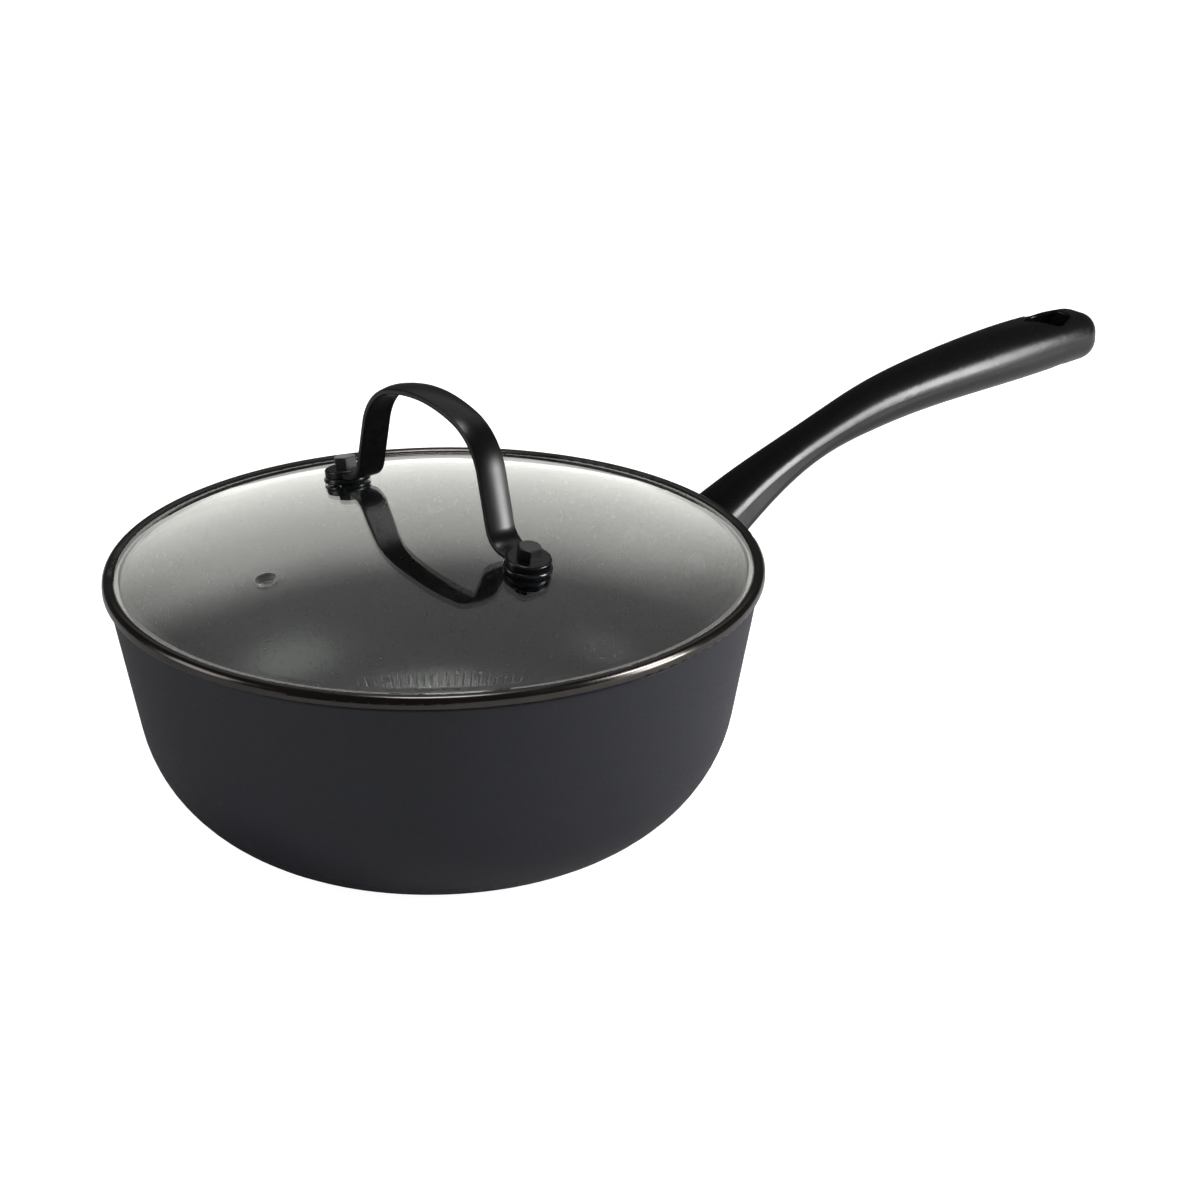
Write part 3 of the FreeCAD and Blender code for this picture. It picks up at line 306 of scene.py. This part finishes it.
def make_floor_ribs():
    """A ring of short radial ribs, pressed into the inside of the pan where the floor turns up."""
    shell = BVHTree.FromObject(frame["nodes"]["pan_shell"], bpy.context.evaluated_depsgraph_get())
    above, down = Vector((0, 0, 0.09)), Vector((0, 0, -1))
    vertices, faces = [], []
    for rib in range(RIB_COUNT):
        angle = 2 * math.pi * rib / RIB_COUNT
        out = Vector((math.cos(angle), math.sin(angle), 0))
        side = Vector((-out.y, out.x, 0))
        first = len(vertices)
        for i in range(RIB_STEPS_ALONG + 1):
            along = i / RIB_STEPS_ALONG
            for j in range(RIB_STEPS_ACROSS + 1):
                across = 2 * j / RIB_STEPS_ACROSS - 1
                over = out * (RIB_START + (RIB_END - RIB_START) * along) + side * across * RIB_WIDTH / 2
                on_floor, normal, _, _ = shell.ray_cast(over + above, down)
                swell = math.sqrt(max(math.sin(math.pi * along), 0)) * math.cos(math.pi / 2 * across)
                vertices.append(on_floor + normal * (RIB_HEIGHT * swell - RIB_SINK))
        row = RIB_STEPS_ACROSS + 1
        for i in range(RIB_STEPS_ALONG):
            for j in range(RIB_STEPS_ACROSS):
                corner = first + i * row + j
                faces.append((corner, corner + row, corner + row + 1, corner + 1))
    mesh = bpy.data.meshes.new("floor_ribs")
    mesh.from_pydata(vertices, [], faces)
    mesh.shade_smooth()
    mesh.materials.append(MATERIALS["pan_coating"])
    ribs = bpy.data.objects.new("floor_ribs", mesh)
    bpy.context.scene.collection.objects.link(ribs)
    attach(ribs, "pan")


# ---------------------------------------------------------------------------------------------
# Studio
# ---------------------------------------------------------------------------------------------

FLOOR_RADIUS = 4.0
FLOOR_DROP = 0.2 * MILLIMETRE
SCENE_CENTRE = Vector((0.0, 0.0, 0.10))
ROOM_RADIANCE = 0.07
# What the camera sees past the floor
PLAIN_WHITE = 1.2
WHITE = (1.0, 1.0, 1.0)


def make_floor():
    """A pale floor that looks evenly white, and is dimmer where the object mirrors it."""
    bpy.ops.mesh.primitive_circle_add(vertices=128, radius=FLOOR_RADIUS, fill_type="NGON",
                                      location=(0.0, 0.0, -FLOOR_DROP))
    floor = bpy.context.object
    floor.name = "floor"
    material, g = new_material("floor_white")
    seen = g.shader((0.5, 0.5, 0.5), 0.9, Specular_IOR_Level=0.1,
                    Emission_Color=WHITE, Emission_Strength=0.96)
    mirrored = g.shader((0.6, 0.6, 0.6), 0.9, Specular_IOR_Level=0.1)
    g.finish(g.blend(g.ray("Is Camera Ray"), mirrored, seen))
    floor.data.materials.append(material)


def towards(azimuth, elevation):
    """Unit vector; azimuth is measured from +Y towards +X."""
    a, e = math.radians(azimuth), math.radians(elevation)
    return Vector((math.sin(a) * math.cos(e), math.cos(a) * math.cos(e), math.sin(e)))


def make_lamp(name, azimuth, elevation, distance, width, height, radiance, edge=0.0, spared=()):
    """A soft box that faces the object, sized across and up, with its brightness as radiance.

    The edge is the share of the box over which its brightness fades out at the sides. Its light is
    kept off the spared nodes, as a flag between the lamp and the object does.
    """
    data = bpy.data.lights.new(name, "AREA")
    data.shape = "RECTANGLE"
    data.size, data.size_y = width, height
    data.energy = radiance * math.pi * width * height
    lamp = bpy.data.objects.new(name, data)
    bpy.context.scene.collection.objects.link(lamp)
    out = towards(azimuth, elevation)
    lamp.location = SCENE_CENTRE + out * distance
    lamp.rotation_euler = out.to_track_quat("Z", "Y").to_euler()
    lamp.visible_camera = False
    if edge:
        g, across, up = lamp_graph(data)
        reach = g.math("MAXIMUM", across, up)
        finish_lamp(g, g.span(reach, 1.0 - edge, 1.0, 1.0, 0.0))
    if spared:
        group = bpy.data.collections.new(name + "_spared")
        for node in spared:
            group.objects.link(frame["nodes"][node])
        for entry in group.collection_objects:
            entry.light_linking.link_state = "EXCLUDE"
        lamp.light_linking.receiver_collection = group
    return lamp


def lamp_graph(data):
    """The lamp's nodes, with the distances from its middle, 1 at the edges, across and up."""
    data.use_nodes = True
    g = Graph(data.node_tree)
    u, v, _ = g.split(g.node("ShaderNodeNewGeometry").outputs["Parametric"])
    from_middle = [g.math("ABSOLUTE", g.math("MULTIPLY", g.math("SUBTRACT", side, 0.5), 2.0))
                   for side in (u, v)]
    return g, *from_middle


def finish_lamp(g, strength, colour=WHITE):
    emission = g.node("ShaderNodeEmission")
    g.feed(emission.inputs["Color"], colour)
    g.feed(emission.inputs["Strength"], strength)
    output = g.node("ShaderNodeOutputLight")
    g.feed(output.inputs["Surface"], emission.outputs[0])


def make_backdrop():
    """The lit part of the wall behind the object: it stands on the floor and fades out softly."""
    azimuth, distance, sideways = 29.0, 0.98, 0.10
    lamp = make_lamp("backdrop", azimuth, 0.0, distance, 1.6, 1.8, 1.28,
                     spared=("handle_grip", "lid_handle", "lid_rim"))
    lamp.location += towards(azimuth + 90, 0.0) * sideways
    g, across, up = lamp_graph(lamp.data)
    fade = g.math("MULTIPLY", g.span(across, 0.40, 1.0, 1.0, 0.0), g.span(up, 0.50, 1.0, 1.0, 0.0))
    finish_lamp(g, fade, (1.0, 1.0, 0.95))


def make_world():
    """A dim even room, white where the camera looks past the floor."""
    world = bpy.data.worlds.new("studio")
    bpy.context.scene.world = world
    world.use_nodes = True
    g = Graph(world.node_tree)
    room = g.node("ShaderNodeBackground")
    g.feed(room.inputs["Color"], WHITE)
    g.feed(room.inputs["Strength"], ROOM_RADIANCE)
    plain = g.node("ShaderNodeBackground")
    g.feed(plain.inputs["Color"], WHITE)
    g.feed(plain.inputs["Strength"], PLAIN_WHITE)
    output = g.node("ShaderNodeOutputWorld")
    both = g.blend(g.ray("Is Camera Ray"), room.outputs[0], plain.outputs[0])
    g.feed(output.inputs["Surface"], both)


def make_camera():
    """Looks along the handle's side from above, with a long lens."""
    aim = Vector((0.0833, 0.0064, 0.0600))
    azimuth, elevation, distance = 38.5, 23.109, 1.1364
    camera = bpy.data.objects.new("camera", bpy.data.cameras.new("camera"))
    bpy.context.scene.collection.objects.link(camera)
    camera.data.lens = 86.34
    camera.data.sensor_width = 36.0
    camera.data.clip_start = 0.05
    camera.location = aim - towards(azimuth, -elevation) * distance
    camera.rotation_euler = Euler((math.radians(90 - elevation), 0, math.radians(-azimuth)))
    bpy.context.scene.camera = camera


def make_studio():
    make_floor()
    make_world()
    make_backdrop()
    grip = ("handle_grip",)
    make_lamp("overhead", 30, 88, 2.0, 0.7, 0.7, 11.0, edge=0.5, spared=grip)
    make_lamp("ceiling", 38, 50, 1.6, 2.4, 1.5, 0.33, edge=0.5, spared=grip)
    make_lamp("side_box", 139.5, 6, 1.4, 0.58, 0.66, 18.0, edge=0.35, spared=("pan_shell", "lid_glass"))
    make_lamp("front_box", 138, 32, 1.5, 0.60, 0.60, 20.0, edge=0.35,
              spared=("handle_grip", "lid_handle", "lid_glass"))
    make_lamp("left_box", -62, 16, 1.6, 0.9, 0.9, 3.0, edge=0.4)
    make_camera()
    scene = bpy.context.scene
    scene.view_settings.view_transform = "Standard"
    scene.cycles.use_denoising = True


dress_nodes()
make_floor_ribs()
make_studio()
